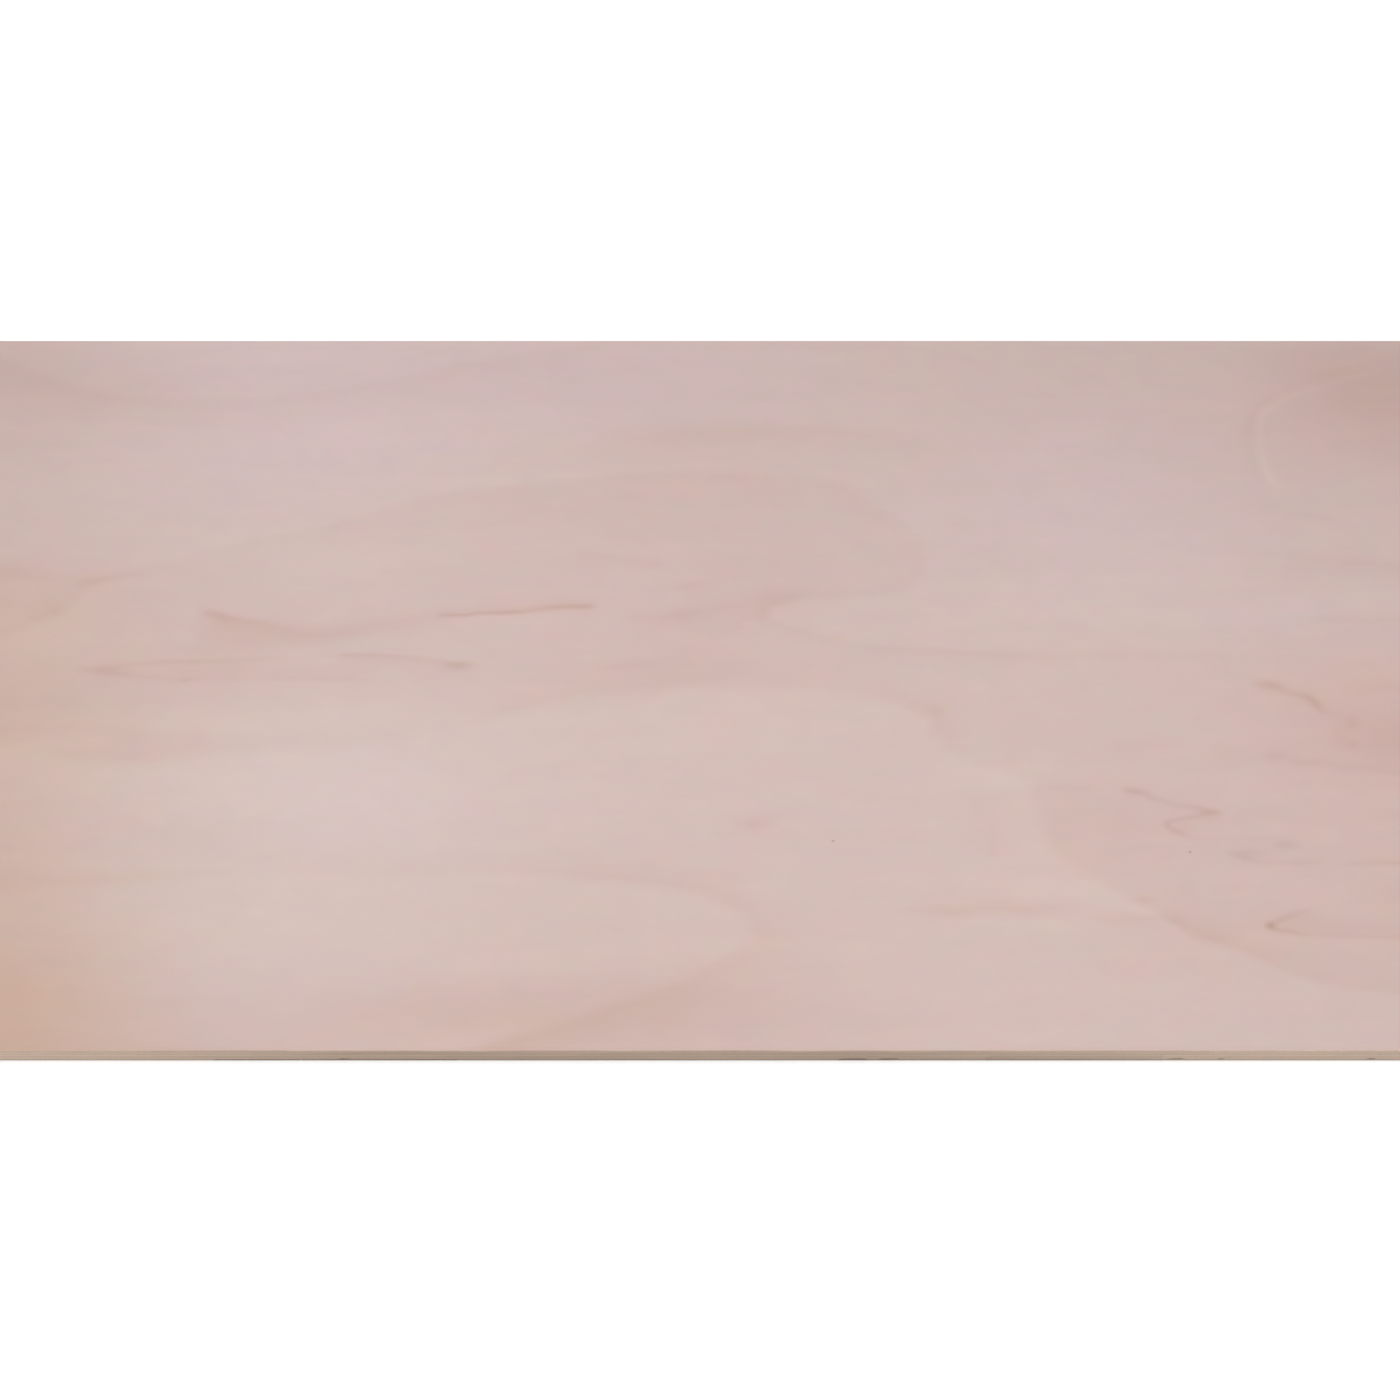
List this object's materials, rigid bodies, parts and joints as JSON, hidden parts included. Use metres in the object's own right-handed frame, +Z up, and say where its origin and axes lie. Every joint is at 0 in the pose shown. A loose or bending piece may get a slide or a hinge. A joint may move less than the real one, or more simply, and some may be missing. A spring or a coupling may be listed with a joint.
{
  "type": "plywood sheet",
  "caption": "Full flat sheet of sanded plywood: thick plies glued with crossed grain, pale smooth face veneer, eased arrises, small voids in one long edge.",
  "frame": {"origin": "middle of the underside, on the floor that the sheet lies on", "axes": "+X along the length and the grain of the faces, +Y from the front long edge to the rear one, +Z up out of the face veneer"},
  "size_m": [2.44, 1.22, 0.018],
  "materials": {
    "face_veneer": "satin",
    "crossband": "matte",
    "core": "matte",
    "back_veneer": "satin"
  },
  "bodies": {
    "root": {"face_veneer": "face_veneer", "upper_crossband": "crossband", "core_ply": "core", "lower_crossband": "crossband", "back_veneer": "back_veneer"}
  },
  "joints": []
}
